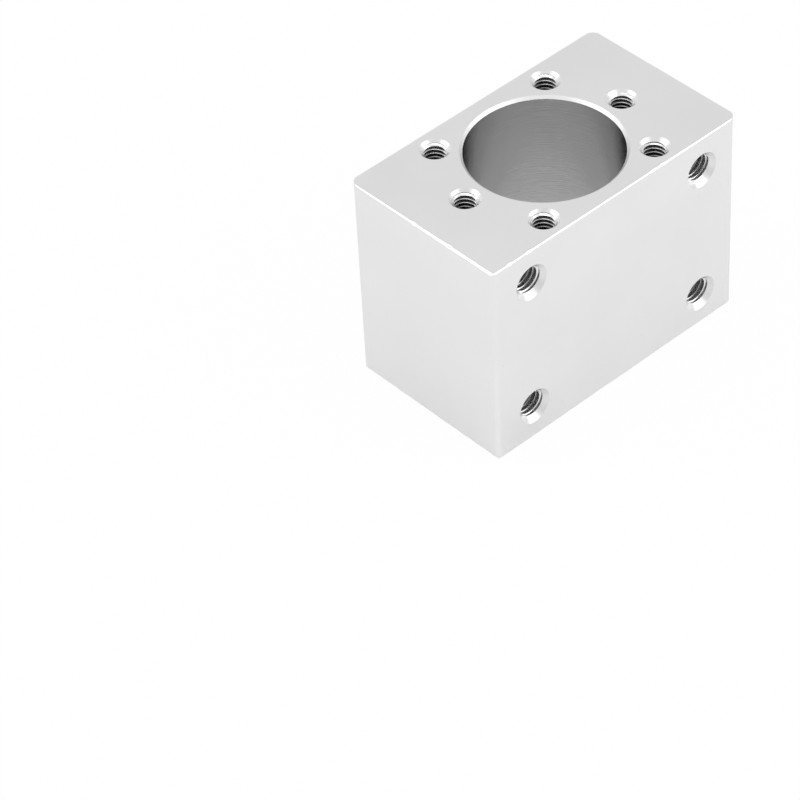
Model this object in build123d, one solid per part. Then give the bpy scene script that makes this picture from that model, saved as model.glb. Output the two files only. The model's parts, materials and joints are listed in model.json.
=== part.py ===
from build123d import *
import math
import os

# Ball screw nut housing: one block of aluminium bar, bored right through for the body of a
# flanged ball nut. It is drilled and tapped for the six screws of the nut's flange, and for four
# screws that hold the block under the part it drives.
#
# Millimetres. +Z runs along the bore, up to the face that the nut's flange is screwed to.
# X runs along the block's long side. The four fixing holes open on the -Y side.
# The origin is on the bore's axis, at the plain end that the block stands on.

# The bar
LENGTH = 50.0  # along X
THICKNESS = 30.0  # along Y
HEIGHT = 36.0  # along the bore
EDGE_ROUND = 1.2  # the four edges along the bore, as the bar was drawn
EDGE_BREAK = 0.25  # deburring chamfer round both ends

# The bore for the nut's body
BORE_DIAMETER = 24.0
BORE_CHAMFER = 0.45  # at both mouths

# The nut's screws: two groups of three on one circle, M4 x 0.7
NUT_SCREW_CIRCLE = 32.0  # diameter
NUT_SCREW_SPREAD = 90.0  # degrees between the outer screws of a group
NUT_SCREWS_IN_GROUP = 3
NUT_SCREW_DRILL = 3.3
NUT_SCREW_DEPTH = 12.0  # full diameter of the drill
NUT_SCREW_COUNTERSINK = 4.8  # diameter at the face

# The fixing screws: the corners of a rectangle on the -Y side, M5 x 0.8
FIXING_SPACING_X = 35.0
FIXING_SPACING_Z = 24.0
FIXING_FROM_FLANGE_FACE = 6.0  # from the flange face to the nearer row
FIXING_DRILL = 4.2
FIXING_DEPTH = 10.5
FIXING_COUNTERSINK = 6.0

# The tools
DRILL_POINT_ANGLE = 118.0
COUNTERSINK_ANGLE = 90.0
OVERRUN = 1.0  # how far a cutter runs out past the face that it enters


def bar_blank():
    """The sawn and faced length of bar, its long edges round and the rims of its ends deburred."""
    blank = extrude(RectangleRounded(LENGTH, THICKNESS, EDGE_ROUND), HEIGHT)
    ends = blank.faces().sort_by(Axis.Z)
    rims = ends[0].edges() + ends[-1].edges()
    return chamfer(rims, EDGE_BREAK)


def bore_cutter():
    """The boring bar's sweep, with a 45 degree chamfer at both mouths."""
    radius = BORE_DIAMETER / 2
    chamfer_end = radius + BORE_CHAMFER
    flare = chamfer_end + OVERRUN
    half_section = Polyline(
        (0, -OVERRUN),
        (flare, -OVERRUN),
        (radius, BORE_CHAMFER),
        (radius, HEIGHT - BORE_CHAMFER),
        (flare, HEIGHT + OVERRUN),
        (0, HEIGHT + OVERRUN),
        close=True,
    )
    return revolve(make_face(Plane.XZ * half_section), Axis.Z)


def tapping_cutter(drill, depth, countersink):
    """A drill and countersink that enter at the origin and cut towards -Z.

    The drill leaves its cone at the bottom. The thread itself is left out, so the wall is the
    one that the tap starts from.
    """
    radius = drill / 2
    point = radius / math.tan(math.radians(DRILL_POINT_ANGLE / 2))
    slope = math.tan(math.radians(COUNTERSINK_ANGLE / 2))
    sink_depth = (countersink / 2 - radius) / slope
    flare = countersink / 2 + OVERRUN * slope
    half_section = Polyline(
        (0, -depth - point),
        (radius, -depth),
        (radius, -sink_depth),
        (flare, OVERRUN),
        (0, OVERRUN),
        close=True,
    )
    return revolve(make_face(Plane.XZ * half_section), Axis.Z)


def nut_screw_places():
    """Where the nut's screws enter the flange face: three at each end of the block."""
    flange_face = Plane.XY.offset(HEIGHT)
    places = []
    for end in (0, 180):
        group = PolarLocations(
            NUT_SCREW_CIRCLE / 2,
            NUT_SCREWS_IN_GROUP,
            start_angle=end - NUT_SCREW_SPREAD / 2,
            angular_range=NUT_SCREW_SPREAD,
            endpoint=True,
        )
        places += [flange_face * spot for spot in group.locations]
    return places


def fixing_screw_places():
    """Where the fixing screws enter the -Y side, two rows along X."""
    rows_middle = HEIGHT - FIXING_FROM_FLANGE_FACE - FIXING_SPACING_Z / 2
    side = Plane(origin=(0, -THICKNESS / 2, rows_middle), x_dir=(1, 0, 0), z_dir=(0, -1, 0))
    grid = GridLocations(FIXING_SPACING_X, FIXING_SPACING_Z, 2, 2).locations
    return [side * spot for spot in grid]


def nut_housing():
    """The finished block."""
    nut_tap = tapping_cutter(NUT_SCREW_DRILL, NUT_SCREW_DEPTH, NUT_SCREW_COUNTERSINK)
    fixing_tap = tapping_cutter(FIXING_DRILL, FIXING_DEPTH, FIXING_COUNTERSINK)
    cutters = [bore_cutter()]
    cutters += [place * nut_tap for place in nut_screw_places()]
    cutters += [place * fixing_tap for place in fixing_screw_places()]
    return bar_blank() - cutters


os.makedirs("parts", exist_ok=True)
export_step(nut_housing(), "parts/nut_housing.step")
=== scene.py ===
import json
import math

import bpy
from mathutils import Matrix, Vector, noise


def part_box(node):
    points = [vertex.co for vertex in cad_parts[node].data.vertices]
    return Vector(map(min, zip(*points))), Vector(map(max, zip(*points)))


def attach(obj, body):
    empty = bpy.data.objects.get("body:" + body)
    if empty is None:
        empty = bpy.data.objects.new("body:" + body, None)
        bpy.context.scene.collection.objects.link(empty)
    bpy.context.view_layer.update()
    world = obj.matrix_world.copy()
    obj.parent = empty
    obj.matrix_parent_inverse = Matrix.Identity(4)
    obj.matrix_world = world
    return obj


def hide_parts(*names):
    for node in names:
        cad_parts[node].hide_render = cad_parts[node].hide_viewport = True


# Ball screw nut housing: a block of clear anodised aluminium, bored through for the nut and tapped
# for its screws. It adds to the plain solid what a workshop leaves on the real one: the threads,
# edges deburred by hand, tool marks in the bore and the satin of the finish.
#
# Metres, +Z along the bore, standing on the plain end.

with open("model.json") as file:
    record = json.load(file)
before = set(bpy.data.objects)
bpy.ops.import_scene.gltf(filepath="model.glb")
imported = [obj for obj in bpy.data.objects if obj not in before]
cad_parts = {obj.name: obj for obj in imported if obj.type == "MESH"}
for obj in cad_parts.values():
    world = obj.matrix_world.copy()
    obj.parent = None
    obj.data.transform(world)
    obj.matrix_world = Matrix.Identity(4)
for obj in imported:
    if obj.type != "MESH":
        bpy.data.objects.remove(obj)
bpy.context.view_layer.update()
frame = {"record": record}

MM = 0.001
MICRON = 1e-6

# Sizes that come with the frame
NODE = "nut_housing"
block_low, block_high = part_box(NODE)
block_middle = (block_low + block_high) / 2
block_size = block_high - block_low
mounts = {mount["name"]: mount for mount in frame["record"]["mounts"]}
bore_radius = mounts["nut_bore"]["dims"]["r_mm"] * MM
bore_wall = mounts["nut_bore"]["dims"]["length_mm"] * MM
bore_chamfer = (block_size.z - bore_wall) / 2

# The bar's long edges are round. The rims of both ends are deburred by hand, so the bevel's width
# wanders. The file runs straight along each side, so the bevels run out on the round corners.
EDGE_ROUND = 1.8 * MM
FRONT_EDGE_ROUND = 0.7 * MM  # the edge between the -X and -Y sides is less round
EDGE_BREAK = 0.13 * MM
LOWER_EDGE_BREAK = 0.45 * MM
LEAST_BREAK = 0.03 * MM  # what is left of the bevel on the corners
ROUND_STEPS = 12
RIM_STEP = 0.3 * MM  # between the points along a deburred edge
BREAK_WANDER = 0.20  # share of the width
BREAK_RIPPLE = 0.10  # the same, over a shorter length
WANDER_LENGTH = 9.0 * MM
RIPPLE_LENGTH = 1.6 * MM
SHORT_SIDE_BREAK = 0.17 * MM  # at the middle of the upper -X rim
SHORT_SIDE_GAIN = 0.07 * MM  # how much wider it is at the -Y corner, and narrower at the other
NICK_LENGTH = 0.38 * MM
NICK_DEPTH = 0.15 * MM
NICKS = [  # where the top rim is nicked, first at its front corner
    Vector((-25.0, -15.0, 36.0)) * MM,
    Vector((-25.0, 1.3, 36.0)) * MM,
    Vector((-25.0, -6.0, 36.0)) * MM,
    Vector((-21.6, -15.0, 36.0)) * MM,
    Vector((-17.9, -15.0, 36.0)) * MM,
    Vector((7.4, -15.0, 36.0)) * MM,
    Vector((9.3, -15.0, 36.0)) * MM,
]

# The bore. The chamfering tool chattered on one stretch of the upper mouth.
BORE_STEPS = 1080
CHATTER_MIDDLE = math.radians(50)
CHATTER_SPREAD = math.radians(15)
CHATTER_PITCH = 0.31 * MM
CHATTER_DEPTH = 0.07 * MM
CHATTER_STRENGTH = 0.7
CHATTER_UNEVENNESS = 0.6
CHATTER_REACH = 0.25 * MM  # how far down the wall a mark fades out
CUTTER_OVERRUN = 1.0 * MM
CORE_SLACK = 0.005 * MM  # the drill is this much thinner than the thread's inner edge

# The tapped holes. The drill's radius comes from the frame. The threads start at different angles,
# as the taps did. The cut of the last M4 hole fails at -29 degrees and closes at -40.
POINT_ANGLE = math.radians(118)
FLANK_ANGLE = math.radians(30)
CREST_SHARE = 1 / 8  # of the pitch
DRILL_TOP = 1.1 * CUTTER_OVERRUN  # above the face, each tool to its own height
COUNTERSINK_TOP = 1.2 * CUTTER_OVERRUN
THREAD_STEPS = 48  # per turn
M4 = {
    "major": 2.0 * MM,
    "pitch": 0.7 * MM,
    "thread": 10.0 * MM,
    "drilled": 12.0 * MM,
    "countersink": 2.4 * MM,
    "starts": [math.radians(angle) for angle in (43, 0, 125, 0, 39, -40)],
}
M5 = {
    "major": 2.5 * MM,
    "pitch": 0.8 * MM,
    "thread": 8.7 * MM,
    "drilled": 10.5 * MM,
    "countersink": 3.0 * MM,
    "starts": [math.radians(angle) for angle in (-90, -99, -90, -22)],
}

# The camera, fitted to the photograph's edges and holes
CAMERA_AZIMUTH = math.radians(-40.612)
CAMERA_ELEVATION = math.radians(42.768)
CAMERA_ROLL = math.radians(-3.412)
CAMERA_DISTANCE = 547.11 * MM
CAMERA_SENSOR = 36.0
CAMERA_LENS = 165.334
CAMERA_NEAR = 0.01
CAMERA_FAR = 10
BLOCK_RIGHT = 21.831 * MM  # how far the block's middle is to the right of the view's middle
BLOCK_UP = 23.517 * MM

# The stage and its light. A lamp's brightness is its own surface's. A face that mirrors a lamp gets
# the world's light on top of it, and turns plain white.
FLOOR_SIZE = 4.0
FLOOR_WHITE = 0.82
FLOOR_ROUGHNESS = 0.9
CAMERA_GLOW = 0.97  # how far the floor is plain white to the camera, the rest is its lit paper
GLOSS_GLOW = 0.30  # the same to what metal reflects and glass lets through
WORLD_LIGHT = 0.765
LAMP_POWER = 4  # watts for each square metre of lamp, at a brightness of 1
LEFT_SOFTBOX = {"towards": (-0.68, 0.56, 0.55), "distance": 0.5, "width": 0.39, "brightness": 1.05}
RIGHT_SOFTBOX = {"towards": (0.50, -0.77, 0.42), "distance": 0.5, "width": 0.45, "brightness": 1.05}
TOP_SOFTBOX = {"towards": (0, 0, 1), "distance": 0.7, "width": 0.44, "brightness": 1.08}

# The finishes: how much light each takes, as its colour, and how rough it is
FACE_FINISH = {"colour": 0.86, "roughness": 0.38}
BORE_FINISH = {"colour": 0.74, "roughness": 0.15}
CHAMFER_FINISH = {"colour": 0.86, "roughness": 0.45}
BEVEL_FINISH = {"colour": 0.93, "roughness": 0.35}
COUNTERSINK_FINISH = {"colour": 0.80, "roughness": 0.38}
# The thread finishes carry painted shade: their colour darkens from LIT_DEPTH under their face down to
# the dark tone at darkest_at.
TOP_THREAD_FINISH = {"colour": 0.88, "roughness": 0.25, "darkest_at": 3.6 * MM, "dark_tone": 0.10,
                     "bump": 0.0}
# The side threads are the same metal as the top threads, painted lighter, and their painted shade is
# weaker.
SIDE_THREAD_FINISH = {"colour": 0.93, "roughness": 0.25, "darkest_at": 9.0 * MM, "dark_tone": 0.60,
                      "bump": 0.0}
COOL_TINT = 0.005  # how much more blue than red every finish has
ROUGHNESS_WANDER = 0.03
TONE_WANDER = 0.015
SPECK_STRENGTH = 0.12
SPECK_SHARE = 0.12
GRAIN_PER_METRE = 9000.0
CLOUDS_PER_METRE = 70.0
SPECKS_PER_METRE = 420.0
SPECK_SIZE = 0.05
RINGS_PER_METRE = 9000.0
RING_STRETCH = 0.02  # across the bore's axis
BUMP_HEIGHT = 0.02 * MM
GRAIN_BUMP = 0.1
BORE_RINGS = 20.0  # how much stronger the bore's feed marks are than the grain
LIT_DEPTH = 0.6 * MM  # the painted shade in the threads starts at this depth
GRAIN_DETAIL = 3.0
CLOUD_DETAIL = 2.0
RING_DETAIL = 2.0
NOISE_LOW = 0.3  # the noise mostly stays between these
NOISE_HIGH = 0.7

# How much of a face's normal points along Z
UPRIGHT_BELOW = 0.1
LEVEL_ABOVE = 0.95
CAP_ABOVE = 0.99
SMOOTH_BELOW = math.radians(30)


def select_only(piece):
    """Makes one object the only selected and the active one."""
    bpy.ops.object.select_all(action="DESELECT")
    piece.select_set(True)
    bpy.context.view_layer.objects.active = piece


def apply_modifier(piece, kind, **settings):
    """Adds a modifier with these settings and applies it."""
    select_only(piece)
    bpy.ops.object.modifier_add(type=kind)
    modifier = piece.modifiers[-1]
    for name, value in settings.items():
        setattr(modifier, name, value)
    bpy.ops.object.modifier_apply(modifier=modifier.name)


def select_in_mesh(piece, mode, wanted):
    """Selects the faces, edges or vertices that pass the test, and enters edit mode."""
    select_only(piece)
    bpy.ops.object.mode_set(mode="EDIT")
    bpy.ops.mesh.select_mode(type=mode)
    bpy.ops.mesh.select_all(action="DESELECT")
    bpy.ops.object.mode_set(mode="OBJECT")
    mesh = piece.data
    items = {"FACE": mesh.polygons, "EDGE": mesh.edges, "VERT": mesh.vertices}[mode]
    for item in items:
        item.select = wanted(item, mesh)
    bpy.ops.object.mode_set(mode="EDIT")


def edge_ends(edge, mesh):
    """Both ends of an edge."""
    return [mesh.vertices[index].co for index in edge.vertices]


def spans_half_the_block(axis):
    """A test for edges that are longer than half the block along X (0) or Y (1)."""

    def test(edge, mesh):
        start, end = edge_ends(edge, mesh)
        return abs(start[axis] - end[axis]) > block_size[axis] / 2

    return test


def lies_at(spot):
    """A test for the vertices at one spot."""
    return lambda vertex, mesh: (vertex.co - spot).length < MICRON


def lies_at_height(height):
    """A test for edges that lie in the level plane at this height."""

    def test(edge, mesh):
        return all(abs(end.z - height) < MICRON for end in edge_ends(edge, mesh))

    return test


def corner_round(spot):
    """The radius of the bar's long edge that is nearest to a spot."""
    return FRONT_EDGE_ROUND if spot.x < block_middle.x and spot.y < block_middle.y else EDGE_ROUND


def bar_outline():
    """The bar's section as one flat face on the floor, with points close together along its sides."""
    bpy.ops.object.select_all(action="DESELECT")
    bpy.ops.mesh.primitive_plane_add(size=1, location=(block_middle.x, block_middle.y, block_low.z))
    bpy.ops.transform.resize(value=(block_size.x, block_size.y, 1))
    bpy.ops.object.transform_apply(location=True, rotation=False, scale=True)
    outline = bpy.context.object
    for corner in [vertex.co.copy() for vertex in outline.data.vertices]:
        select_in_mesh(outline, "VERT", lies_at(corner))
        bpy.ops.mesh.bevel(offset=corner_round(corner), segments=ROUND_STEPS, affect="VERTICES")
        bpy.ops.object.mode_set(mode="OBJECT")
    select_in_mesh(outline, "FACE", lambda face, mesh: True)
    bpy.ops.mesh.delete(type="ONLY_FACE")
    bpy.ops.object.mode_set(mode="OBJECT")
    for axis in (0, 1):
        select_in_mesh(outline, "EDGE", spans_half_the_block(axis))
        bpy.ops.mesh.subdivide(number_cuts=round(block_size[axis] / RIM_STEP))
        bpy.ops.object.mode_set(mode="OBJECT")
    select_in_mesh(outline, "EDGE", lambda edge, mesh: True)
    bpy.ops.mesh.edge_face_add()
    bpy.ops.object.mode_set(mode="OBJECT")
    return outline


def bar_blank():
    """The length of bar with its long edges round and the rims of both ends chamfered."""
    blank = bar_outline()
    select_in_mesh(blank, "FACE", lambda face, mesh: True)
    bpy.ops.mesh.extrude_region_move(TRANSFORM_OT_translate={"value": (0, 0, block_size.z)})
    bpy.ops.mesh.select_all(action="SELECT")
    bpy.ops.mesh.normals_make_consistent(inside=False)
    bpy.ops.object.mode_set(mode="OBJECT")
    for height in (block_low.z, block_high.z):
        select_in_mesh(blank, "EDGE", lies_at_height(height))
        bpy.ops.mesh.bevel(offset=even_break(height), segments=1, affect="EDGES")
        bpy.ops.object.mode_set(mode="OBJECT")
    deburr_by_hand(blank)
    return blank


def outline_normal(spot):
    """Which way the block's side faces where this point is nearest to it, as a flat vector."""
    radius = corner_round(spot)
    core = block_size / 2 - Vector((radius, radius, 0))
    inner = Vector((max(-core.x, min(core.x, spot.x)), max(-core.y, min(core.y, spot.y))))
    return (spot.to_2d() - inner).normalized()


def even_break(height):
    """The usual width of the bevel on the upper or the lower rim."""
    return EDGE_BREAK if height > block_middle.z else LOWER_EDGE_BREAK


def break_width(spot, side):
    """How wide the file made a side's bevel at this spot of its rim."""
    wander = BREAK_WANDER * noise.noise(spot / WANDER_LENGTH)
    ripple = BREAK_RIPPLE * noise.noise(spot / RIPPLE_LENGTH)
    width = even_break(spot.z)
    if side.x < 0 and spot.z > block_middle.z:
        width = SHORT_SIDE_BREAK - SHORT_SIDE_GAIN * 2 * (spot.y - block_middle.y) / block_size.y
    width *= 1 + wander + ripple
    for nick in NICKS:
        width += NICK_DEPTH * math.exp(-(((spot - nick).length / NICK_LENGTH) ** 2))
    return width


def deburr_by_hand(blank):
    """Moves both edges of each rim's even bevel to where a file run along the sides leaves them."""
    for vertex in blank.data.vertices:
        end = block_high.z if vertex.co.z > block_middle.z else block_low.z
        depth = abs(end - vertex.co.z)
        even = even_break(end)
        if depth > even + MICRON:
            continue
        on_face = depth < MICRON
        normal = outline_normal(vertex.co)
        outline = vertex.co.to_2d() + normal * (even if on_face else 0)
        inner = outline - normal * LEAST_BREAK
        cut = LEAST_BREAK
        for axis in (0, 1):
            side = Vector((0, 0))
            side[axis] = math.copysign(1, outline[axis])
            reach = block_size[axis] / 2 - break_width(Vector((*outline, end)), side)
            inner[axis] = side[axis] * min(abs(inner[axis]), reach)
            cut = max(cut, abs(outline[axis]) - reach)
        if on_face:
            vertex.co.xy = inner
        else:
            vertex.co.z = end - math.copysign(cut, end - block_middle.z)
    select_in_mesh(blank, "VERT", lambda vertex, mesh: True)
    bpy.ops.mesh.remove_doubles(threshold=MICRON)
    bpy.ops.object.mode_set(mode="OBJECT")


def bore_cutter():
    """The bore's wall with a chamfer at both mouths, running out past both ends of the block."""
    bpy.ops.object.select_all(action="DESELECT")
    plain_wall = bore_wall - 2 * CHATTER_REACH
    bpy.ops.mesh.primitive_cylinder_add(
        vertices=BORE_STEPS, radius=bore_radius, depth=plain_wall, location=block_middle
    )
    bpy.ops.object.transform_apply(location=True, rotation=False, scale=True)
    cutter = bpy.context.object
    chamfer_end = bore_radius + bore_chamfer
    for outward in (1, -1):
        select_in_mesh(cutter, "FACE", faces_vertically(outward))
        grow_cap(outward * CHATTER_REACH, 1)
        grow_cap(outward * bore_chamfer, chamfer_end / bore_radius)
        grow_cap(outward * CUTTER_OVERRUN, 1)
        bpy.ops.object.mode_set(mode="OBJECT")
    chatter(cutter)
    return cutter


def chatter(cutter):
    """Small teeth on the upper chamfer's inner edge, cut along its slope, on one stretch."""
    edge_height = block_middle.z + bore_wall / 2
    for vertex in cutter.data.vertices:
        if abs(vertex.co.z - edge_height) > MICRON:
            continue
        angle = math.atan2(vertex.co.y, vertex.co.x)
        fade = math.exp(-(((angle - CHATTER_MIDDLE) / CHATTER_SPREAD) ** 2))
        tooth = 0.5 + 0.5 * math.sin(math.tau * angle * bore_radius / CHATTER_PITCH)
        strength = CHATTER_STRENGTH + CHATTER_UNEVENNESS * noise.noise(vertex.co / CHATTER_PITCH)
        depth = CHATTER_DEPTH * fade * strength * tooth
        outward = vertex.co.to_2d().normalized() * depth
        vertex.co += Vector((*outward, depth))


def faces_vertically(outward):
    """A test for the level faces that look up (1) or down (-1)."""
    return lambda face, mesh: face.normal.z * outward > CAP_ABOVE


def slopes(face, mesh):
    """Whether a face is neither upright nor level."""
    return UPRIGHT_BELOW < abs(face.normal.z) < LEVEL_ABOVE


def grow_cap(rise, spread):
    """Extrudes the selected cap along Z, then widens it by a factor about its own middle."""
    bpy.ops.mesh.extrude_region_move(TRANSFORM_OT_translate={"value": (0, 0, rise)})
    bpy.ops.transform.resize(value=(spread, spread, 1))


def thread_profile(size, drill_radius):
    """One pitch of the thread's outline as a chain of edges beside the Z axis, from the drill's
    wall out to the tap's crest and back. The chain grows from a plane merged to one point."""
    pitch = size["pitch"]
    out = size["major"] - drill_radius
    flank = out * math.tan(FLANK_ANGLE)
    crest = pitch * CREST_SHARE
    land = pitch - crest - 2 * flank
    bpy.ops.object.select_all(action="DESELECT")
    bpy.ops.mesh.primitive_plane_add(size=pitch)
    bpy.ops.object.mode_set(mode="EDIT")
    bpy.ops.mesh.select_mode(type="VERT")
    bpy.ops.mesh.select_all(action="SELECT")
    bpy.ops.mesh.merge(type="CENTER")
    bpy.ops.transform.translate(value=(drill_radius, 0, -size["thread"] - pitch))
    for step in ((0, land / 2), (out, flank), (0, crest), (-out, flank), (0, land / 2)):
        bpy.ops.mesh.extrude_region_move(TRANSFORM_OT_translate={"value": (step[0], 0, step[1])})
    bpy.ops.object.mode_set(mode="OBJECT")
    return bpy.context.object


def thread_rod(size, drill_radius):
    """What the tap cuts: a right-handed screw of its profile, from above the face to the last turn."""
    pitch = size["pitch"]
    rod = thread_profile(size, drill_radius)
    apply_modifier(
        rod, "SCREW", axis="Z", angle=math.tau, screw_offset=pitch,
        iterations=math.ceil((size["thread"] + CUTTER_OVERRUN) / pitch) + 2,
        steps=THREAD_STEPS, render_steps=THREAD_STEPS, use_merge_vertices=False, use_smooth_shade=True,
    )
    bpy.ops.object.mode_set(mode="EDIT")
    bpy.ops.mesh.select_all(action="SELECT")
    bpy.ops.mesh.remove_doubles(threshold=MICRON)
    for height, side in ((CUTTER_OVERRUN, 1), (-size["thread"], -1)):
        bpy.ops.mesh.select_all(action="SELECT")
        bpy.ops.mesh.bisect(
            plane_co=(0, 0, height), plane_no=(0, 0, side), use_fill=True, clear_outer=True,
            threshold=MICRON / 100,
        )
    bpy.ops.mesh.select_all(action="SELECT")
    bpy.ops.mesh.normals_make_consistent(inside=False)
    bpy.ops.object.mode_set(mode="OBJECT")
    return rod


def drill_and_countersink(size, drill_radius):
    """The twist drill with its point, and the countersink's cone, both from above the face down."""
    core_radius = drill_radius - CORE_SLACK
    bpy.ops.object.select_all(action="DESELECT")
    bpy.ops.mesh.primitive_cylinder_add(
        vertices=THREAD_STEPS, radius=core_radius, depth=size["drilled"] + DRILL_TOP,
        location=(0, 0, (DRILL_TOP - size["drilled"]) / 2),
    )
    bpy.ops.object.transform_apply(location=True, rotation=False, scale=True)
    drill = bpy.context.object
    select_in_mesh(drill, "FACE", faces_vertically(-1))
    point_length = core_radius / math.tan(POINT_ANGLE / 2)
    bpy.ops.mesh.extrude_region_move(TRANSFORM_OT_translate={"value": (0, 0, -point_length)})
    bpy.ops.mesh.merge(type="CENTER")
    bpy.ops.object.mode_set(mode="OBJECT")
    bpy.ops.object.select_all(action="DESELECT")
    bpy.ops.mesh.primitive_cone_add(
        vertices=2 * THREAD_STEPS, radius1=drill_radius / 2,
        radius2=size["countersink"] + COUNTERSINK_TOP,
        depth=size["countersink"] - drill_radius / 2 + COUNTERSINK_TOP,
        location=(0, 0, (COUNTERSINK_TOP - size["countersink"] + drill_radius / 2) / 2),
    )
    bpy.ops.object.transform_apply(location=True, rotation=False, scale=True)
    return drill, bpy.context.object


def boolean_with(piece, others, operation):
    """Adds the other pieces to a piece, or cuts them out of it, one by one, and deletes them."""
    for other in others:
        apply_modifier(
            piece, "BOOLEAN", operation=operation, object=other, solver="EXACT", material_mode="TRANSFER"
        )
        bpy.data.objects.remove(other)


def tapping_tool(size, drill_radius, thread_finish, countersink_finish):
    """Everything that one tapped hole takes out, entering at the origin towards -Z."""
    rod = thread_rod(size, drill_radius)
    drill, countersink = drill_and_countersink(size, drill_radius)
    paint(rod, thread_finish)
    paint(drill, thread_finish)
    paint(countersink, countersink_finish)
    boolean_with(rod, (drill, countersink), "UNION")
    return rod


def copy_to(tool, place):
    """A copy of a tool with its own mesh, put where the matrix says."""
    select_only(tool)
    bpy.ops.object.duplicate(linked=False)
    copy = bpy.context.object
    copy.matrix_world = place
    bpy.ops.object.transform_apply(location=True, rotation=True, scale=True)
    return copy


def pattern_spots(mount):
    """The holes of a bolt pattern in its own plane, as (x, y) about the pattern's middle."""
    dims = mount["dims"]
    half_x = dims["spacing_x_mm"] / 2 * MM
    half_y = dims.get("spacing_y_mm", 0) / 2 * MM
    rows = (-half_y, half_y) if half_y else (0,)
    return [(x, y) for x in (-half_x, half_x) for y in rows]


def nut_screw_places():
    """Where the nut's screws enter the flange face."""
    spots = pattern_spots(mounts["nut_screws_diagonal"]) + pattern_spots(mounts["nut_screws_inline"])
    return [Matrix.Translation((x, y, block_high.z)) for x, y in spots]


def fixing_screw_places():
    """Where the fixing screws enter the -Y side. The pattern's second direction is Z."""
    mount = mounts["fixing_screws"]
    middle = mount["pos_m"][2]
    turn = Matrix.Rotation(math.radians(90), 4, "X")
    return [
        Matrix.Translation((x, block_low.y, middle + z)) @ turn
        for x, z in pattern_spots(mount)
    ]


def new_group(name, inputs, outputs):
    """An empty shader node group with these sockets, and its input and output nodes."""
    group = bpy.data.node_groups.new(name, "ShaderNodeTree")
    for label, kind, value in inputs:
        socket = group.interface.new_socket(name=label, in_out="INPUT", socket_type=kind)
        if value is not None:
            socket.default_value = value
    for label, kind in outputs:
        group.interface.new_socket(name=label, in_out="OUTPUT", socket_type=kind)
    return group, group.nodes.new("NodeGroupInput"), group.nodes.new("NodeGroupOutput")


def add_node(tree, kind, links=(), **settings):
    """A node with these settings; links are (input, socket or value) pairs."""
    node = tree.nodes.new(kind)
    for name, value in settings.items():
        setattr(node, name, value)
    for label, source in links:
        if isinstance(source, bpy.types.NodeSocket):
            tree.links.new(source, node.inputs[label])
        else:
            node.inputs[label].default_value = source
    return node


def blasted_grain():
    """The fine even pitting that anodising leaves, and the broad clouds in its tone."""
    group, given, result = new_group(
        "blasted_grain",
        [("Vector", "NodeSocketVector", None), ("Grain per metre", "NodeSocketFloat", GRAIN_PER_METRE),
         ("Clouds per metre", "NodeSocketFloat", CLOUDS_PER_METRE)],
        [("Grain", "NodeSocketFloat"), ("Clouds", "NodeSocketFloat")],
    )
    for label, detail, scale in (
        ("Grain", GRAIN_DETAIL, "Grain per metre"), ("Clouds", CLOUD_DETAIL, "Clouds per metre"),
    ):
        texture = add_node(
            group, "ShaderNodeTexNoise",
            [("Vector", given.outputs["Vector"]), ("Scale", given.outputs[scale]),
             ("Detail", detail)],
        )
        group.links.new(texture.outputs["Fac"], result.inputs[label])
    return group


def fine_specks():
    """Scattered pinpoint pits and dust, as a mask."""
    group, given, result = new_group(
        "fine_specks",
        [("Vector", "NodeSocketVector", None), ("Specks per metre", "NodeSocketFloat", SPECKS_PER_METRE),
         ("Size", "NodeSocketFloat", SPECK_SIZE)],
        [("Mask", "NodeSocketFloat")],
    )
    cells = add_node(
        group, "ShaderNodeTexVoronoi",
        [("Vector", given.outputs["Vector"]), ("Scale", given.outputs["Specks per metre"]),
         ("Randomness", 1.0)],
    )
    spot = add_node(
        group, "ShaderNodeMath",
        [(0, cells.outputs["Distance"]), (1, given.outputs["Size"])], operation="LESS_THAN",
    )
    chance = add_node(group, "ShaderNodeSeparateColor", [("Color", cells.outputs["Color"])])
    rare = add_node(
        group, "ShaderNodeMath", [(0, chance.outputs["Red"]), (1, SPECK_SHARE)], operation="LESS_THAN"
    )
    mask = add_node(
        group, "ShaderNodeMath", [(0, spot.outputs[0]), (1, rare.outputs[0])], operation="MULTIPLY"
    )
    group.links.new(mask.outputs[0], result.inputs["Mask"])
    return group


def tool_rings():
    """The feed marks of a cutter that moved along Z, as a height."""
    group, given, result = new_group(
        "tool_rings",
        [("Vector", "NodeSocketVector", None), ("Rings per metre", "NodeSocketFloat", RINGS_PER_METRE)],
        [("Height", "NodeSocketFloat")],
    )
    stretch = add_node(
        group, "ShaderNodeVectorMath",
        [(0, given.outputs["Vector"]), (1, (RING_STRETCH, RING_STRETCH, 1.0))], operation="MULTIPLY",
    )
    rings = add_node(
        group, "ShaderNodeTexNoise",
        [("Vector", stretch.outputs[0]), ("Scale", given.outputs["Rings per metre"]),
         ("Detail", RING_DETAIL)],
    )
    group.links.new(rings.outputs["Fac"], result.inputs["Height"])
    return group


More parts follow.
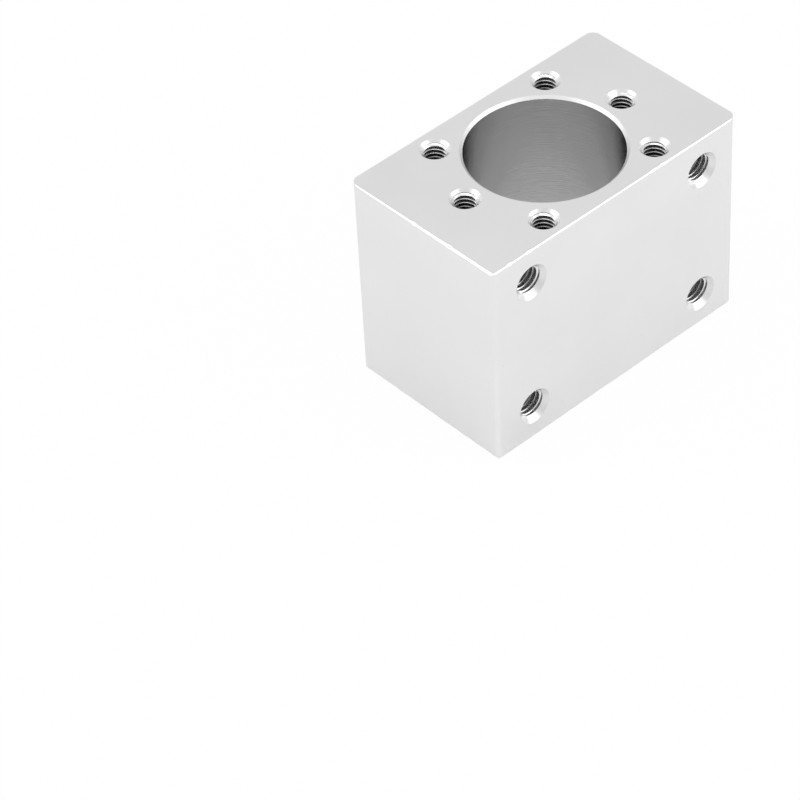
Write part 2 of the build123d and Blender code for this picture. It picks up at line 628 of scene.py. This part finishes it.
def depth_shadow():
    """Painted shade: how a surface darkens with its depth under a face, as a factor for its tone."""
    group, given, result = new_group(
        "depth_shadow",
        [("Vector", "NodeSocketVector", None), ("Outward", "NodeSocketVector", None),
         ("Face height", "NodeSocketFloat", 0.0), ("Darkest at", "NodeSocketFloat", 0.0),
         ("Dark tone", "NodeSocketFloat", 1.0)],
        [("Tone", "NodeSocketFloat")],
    )
    height = add_node(
        group, "ShaderNodeVectorMath",
        [(0, given.outputs["Vector"]), (1, given.outputs["Outward"])], operation="DOT_PRODUCT",
    )
    depth = add_node(
        group, "ShaderNodeMath",
        [(0, given.outputs["Face height"]), (1, height.outputs["Value"])], operation="SUBTRACT",
    )
    tone = add_node(
        group, "ShaderNodeMapRange",
        [("Value", depth.outputs[0]), ("From Min", LIT_DEPTH),
         ("From Max", given.outputs["Darkest at"]), ("To Min", 1.0),
         ("To Max", given.outputs["Dark tone"])],
    )
    group.links.new(tone.outputs[0], result.inputs["Tone"])
    return group


def metal_material(name, finish, groups, rings=0.0, outward=None):
    """Aluminium in one finish. Its colour and roughness wander with the shared effects, and where a face
    that looks outward is given, shade is painted into its colour, darker with the depth under that face."""
    material = bpy.data.materials.new(name)
    material.use_nodes = True
    tree = material.node_tree
    shader = tree.nodes["Principled BSDF"]
    shader.inputs["Metallic"].default_value = 1.0
    place = tree.nodes.new("ShaderNodeTexCoord").outputs["Object"]
    grain_node = add_node(tree, "ShaderNodeGroup", [("Vector", place)], node_tree=groups["grain"])
    specks = add_node(tree, "ShaderNodeGroup", [("Vector", place)], node_tree=groups["specks"])
    tone = add_node(
        tree, "ShaderNodeMapRange",
        [("Value", grain_node.outputs["Clouds"]), ("From Min", NOISE_LOW), ("From Max", NOISE_HIGH),
         ("To Min", 1 - TONE_WANDER), ("To Max", 1 + TONE_WANDER)],
    )
    shade = add_node(
        tree, "ShaderNodeMath",
        [(0, specks.outputs["Mask"]), (1, -SPECK_STRENGTH), (2, tone.outputs[0])],
        operation="MULTIPLY_ADD",
    )
    if outward:
        shadow = add_node(
            tree, "ShaderNodeGroup",
            [("Vector", place), ("Outward", outward), ("Face height", face_height(outward)),
             ("Darkest at", finish["darkest_at"]), ("Dark tone", finish["dark_tone"])],
            node_tree=groups["shadow"],
        )
        shade = add_node(
            tree, "ShaderNodeMath",
            [(0, shade.outputs[0]), (1, shadow.outputs["Tone"])], operation="MULTIPLY",
        )
    grey = finish["colour"]
    base = add_node(
        tree, "ShaderNodeMix",
        [("Factor", 1.0), ("A", (grey, grey, grey + COOL_TINT, 1.0)), ("B", shade.outputs[0])],
        data_type="RGBA", blend_type="MULTIPLY",
    )
    tree.links.new(base.outputs["Result"], shader.inputs["Base Color"])
    rough = add_node(
        tree, "ShaderNodeMapRange",
        [("Value", grain_node.outputs["Grain"]), ("From Min", NOISE_LOW), ("From Max", NOISE_HIGH),
         ("To Min", finish["roughness"] - ROUGHNESS_WANDER),
         ("To Max", finish["roughness"] + ROUGHNESS_WANDER)],
    )
    tree.links.new(rough.outputs[0], shader.inputs["Roughness"])
    height = grain_node.outputs["Grain"]
    if rings:
        marks = add_node(tree, "ShaderNodeGroup", [("Vector", place)], node_tree=groups["rings"])
        weighted = add_node(
            tree, "ShaderNodeMath", [(0, marks.outputs["Height"]), (1, rings), (2, height)],
            operation="MULTIPLY_ADD",
        )
        height = weighted.outputs[0]
    bump = add_node(
        tree, "ShaderNodeBump",
        [("Height", height), ("Strength", finish.get("bump", GRAIN_BUMP)), ("Distance", BUMP_HEIGHT)],
    )
    tree.links.new(bump.outputs["Normal"], shader.inputs["Normal"])
    return material


def face_height(outward):
    """How far out the block's face lies that looks this way."""
    way = Vector(outward)
    return block_middle.dot(way) + abs(block_size.dot(way)) / 2


def finishes():
    """The finishes of the block."""
    groups = {
        "grain": blasted_grain(),
        "specks": fine_specks(),
        "rings": tool_rings(),
        "shadow": depth_shadow(),
    }
    return {
        "face": metal_material("anodised_face", FACE_FINISH, groups),
        "bore": metal_material("bored_wall", BORE_FINISH, groups, rings=BORE_RINGS),
        "chamfer": metal_material("bore_chamfer", CHAMFER_FINISH, groups),
        "bevel": metal_material("cut_bevel", BEVEL_FINISH, groups),
        "countersink": metal_material("countersunk_cone", COUNTERSINK_FINISH, groups),
        # The thread materials have shade painted into their colour, darker deeper under the top face and
        # under the -Y side.
        "top_thread": metal_material("top_thread", TOP_THREAD_FINISH, groups, outward=(0, 0, 1)),
        "side_thread": metal_material("side_thread", SIDE_THREAD_FINISH, groups, outward=(0, -1, 0)),
    }


def paint(piece, material):
    """Gives the whole piece one finish."""
    piece.data.materials.clear()
    piece.data.materials.append(material)
    for face in piece.data.polygons:
        face.material_index = 0


def paint_where(piece, material, wanted):
    """Gives the faces that pass the test another finish."""
    piece.data.materials.append(material)
    slot = len(piece.data.materials) - 1
    for face in piece.data.polygons:
        if wanted(face, piece.data):
            face.material_index = slot


def finish_block(block):
    """Closes what the cuts left open by a hair, and smooths the round surfaces."""
    select_in_mesh(block, "VERT", lambda vertex, mesh: True)
    bpy.ops.mesh.remove_doubles(threshold=MICRON / 10)
    bpy.ops.object.mode_set(mode="OBJECT")
    bpy.ops.object.shade_smooth_by_angle(angle=SMOOTH_BELOW)
    apply_modifier(block, "WEIGHTED_NORMAL", mode="FACE_AREA", weight=100, keep_sharp=True)


def nut_housing(finish):
    """The finished block."""
    block = bar_blank()
    block.name = "ball_nut_block"
    block.data.name = "ball_nut_block"
    paint(block, finish["face"])
    paint_where(block, finish["bevel"], slopes)
    bore = bore_cutter()
    paint(bore, finish["bore"])
    paint_where(bore, finish["chamfer"], slopes)
    cutters = [bore]
    for size, mount, places, thread in (
        (M4, mounts["nut_screws_inline"], nut_screw_places(), "top_thread"),
        (M5, mounts["fixing_screws"], fixing_screw_places(), "side_thread"),
    ):
        drill_radius = mount["dims"]["hole_r_mm"] * MM
        tool = tapping_tool(size, drill_radius, finish[thread], finish["countersink"])
        for place, start in zip(places, size["starts"]):
            cutters.append(copy_to(tool, place @ Matrix.Rotation(start, 4, "Z")))
        bpy.data.objects.remove(tool)
    boolean_with(block, cutters, "DIFFERENCE")
    finish_block(block)
    return block


def white_table():
    """The floor: white paper that glows to the camera and less to reflections, and that keeps a
    soft shadow."""
    bpy.ops.object.select_all(action="DESELECT")
    bpy.ops.mesh.primitive_plane_add(size=FLOOR_SIZE, location=(0, 0, block_low.z))
    floor = bpy.context.object
    floor.name = "floor"
    material = bpy.data.materials.new("white_paper")
    material.use_nodes = True
    tree = material.node_tree
    paper = tree.nodes["Principled BSDF"]
    paper.inputs["Base Color"].default_value = (FLOOR_WHITE, FLOOR_WHITE, FLOOR_WHITE, 1.0)
    paper.inputs["Roughness"].default_value = FLOOR_ROUGHNESS
    seen = tree.nodes.new("ShaderNodeLightPath")
    glow = add_node(tree, "ShaderNodeEmission", [("Color", (1, 1, 1, 1)), ("Strength", 1.0)])
    camera_share = add_node(
        tree, "ShaderNodeMath", [(0, seen.outputs["Is Camera Ray"]), (1, CAMERA_GLOW)],
        operation="MULTIPLY",
    )
    through_object = add_node(
        tree, "ShaderNodeMath",
        [(0, seen.outputs["Is Glossy Ray"]), (1, seen.outputs["Is Transmission Ray"])],
        operation="MAXIMUM",
    )
    share = add_node(
        tree, "ShaderNodeMath",
        [(0, through_object.outputs[0]), (1, GLOSS_GLOW), (2, camera_share.outputs[0])],
        operation="MULTIPLY_ADD",
    )
    mix = add_node(
        tree, "ShaderNodeMixShader", [(0, share.outputs[0]), (1, paper.outputs[0]), (2, glow.outputs[0])]
    )
    tree.links.new(mix.outputs[0], tree.nodes["Material Output"].inputs["Surface"])
    floor.data.materials.append(material)
    return floor


def softbox(name, lamp):
    """A square area lamp that looks at the block from its direction."""
    data = bpy.data.lights.new(name, "AREA")
    data.shape = "SQUARE"
    data.size = lamp["width"]
    data.energy = LAMP_POWER * lamp["brightness"] * lamp["width"] ** 2
    light = bpy.data.objects.new(name, data)
    bpy.context.collection.objects.link(light)
    light.location = block_middle + Vector(lamp["towards"]).normalized() * lamp["distance"]
    light.rotation_euler = (block_middle - light.location).to_track_quat("-Z", "Y").to_euler()


def daylight(brightness):
    """The even light all round, which the camera sees as plain white."""
    world = bpy.data.worlds.new("studio")
    bpy.context.scene.world = world
    world.use_nodes = True
    tree = world.node_tree
    seen = tree.nodes.new("ShaderNodeLightPath")
    strength = add_node(
        tree, "ShaderNodeMath",
        [(0, seen.outputs["Is Camera Ray"]), (1, 1 - brightness), (2, brightness)],
        operation="MULTIPLY_ADD",
    )
    tree.nodes["Background"].inputs["Color"].default_value = (1, 1, 1, 1)
    tree.links.new(strength.outputs[0], tree.nodes["Background"].inputs["Strength"])


def place_camera():
    """The photograph's viewpoint, with the block up and to the right of the picture's middle."""
    turn = Matrix.Rotation(CAMERA_AZIMUTH, 3, "Z")
    turn = turn @ Matrix.Rotation(math.pi / 2 - CAMERA_ELEVATION, 3, "X")
    turn = turn @ Matrix.Rotation(CAMERA_ROLL, 3, "Z")
    data = bpy.data.cameras.new("camera")
    data.lens = CAMERA_LENS
    data.sensor_width = CAMERA_SENSOR
    data.clip_start = CAMERA_NEAR
    data.clip_end = CAMERA_FAR
    camera = bpy.data.objects.new("camera", data)
    bpy.context.collection.objects.link(camera)
    offset = turn @ Vector((-BLOCK_RIGHT, -BLOCK_UP, CAMERA_DISTANCE))
    camera.matrix_world = Matrix.Translation(block_middle + offset) @ turn.to_4x4()
    bpy.context.scene.camera = camera


block = nut_housing(finishes())
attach(block, "root")
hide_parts(NODE)

white_table()
place_camera()
daylight(WORLD_LIGHT)
softbox("left_softbox", LEFT_SOFTBOX)
softbox("right_softbox", RIGHT_SOFTBOX)
softbox("top_softbox", TOP_SOFTBOX)
bpy.context.scene.view_settings.view_transform = "Standard"
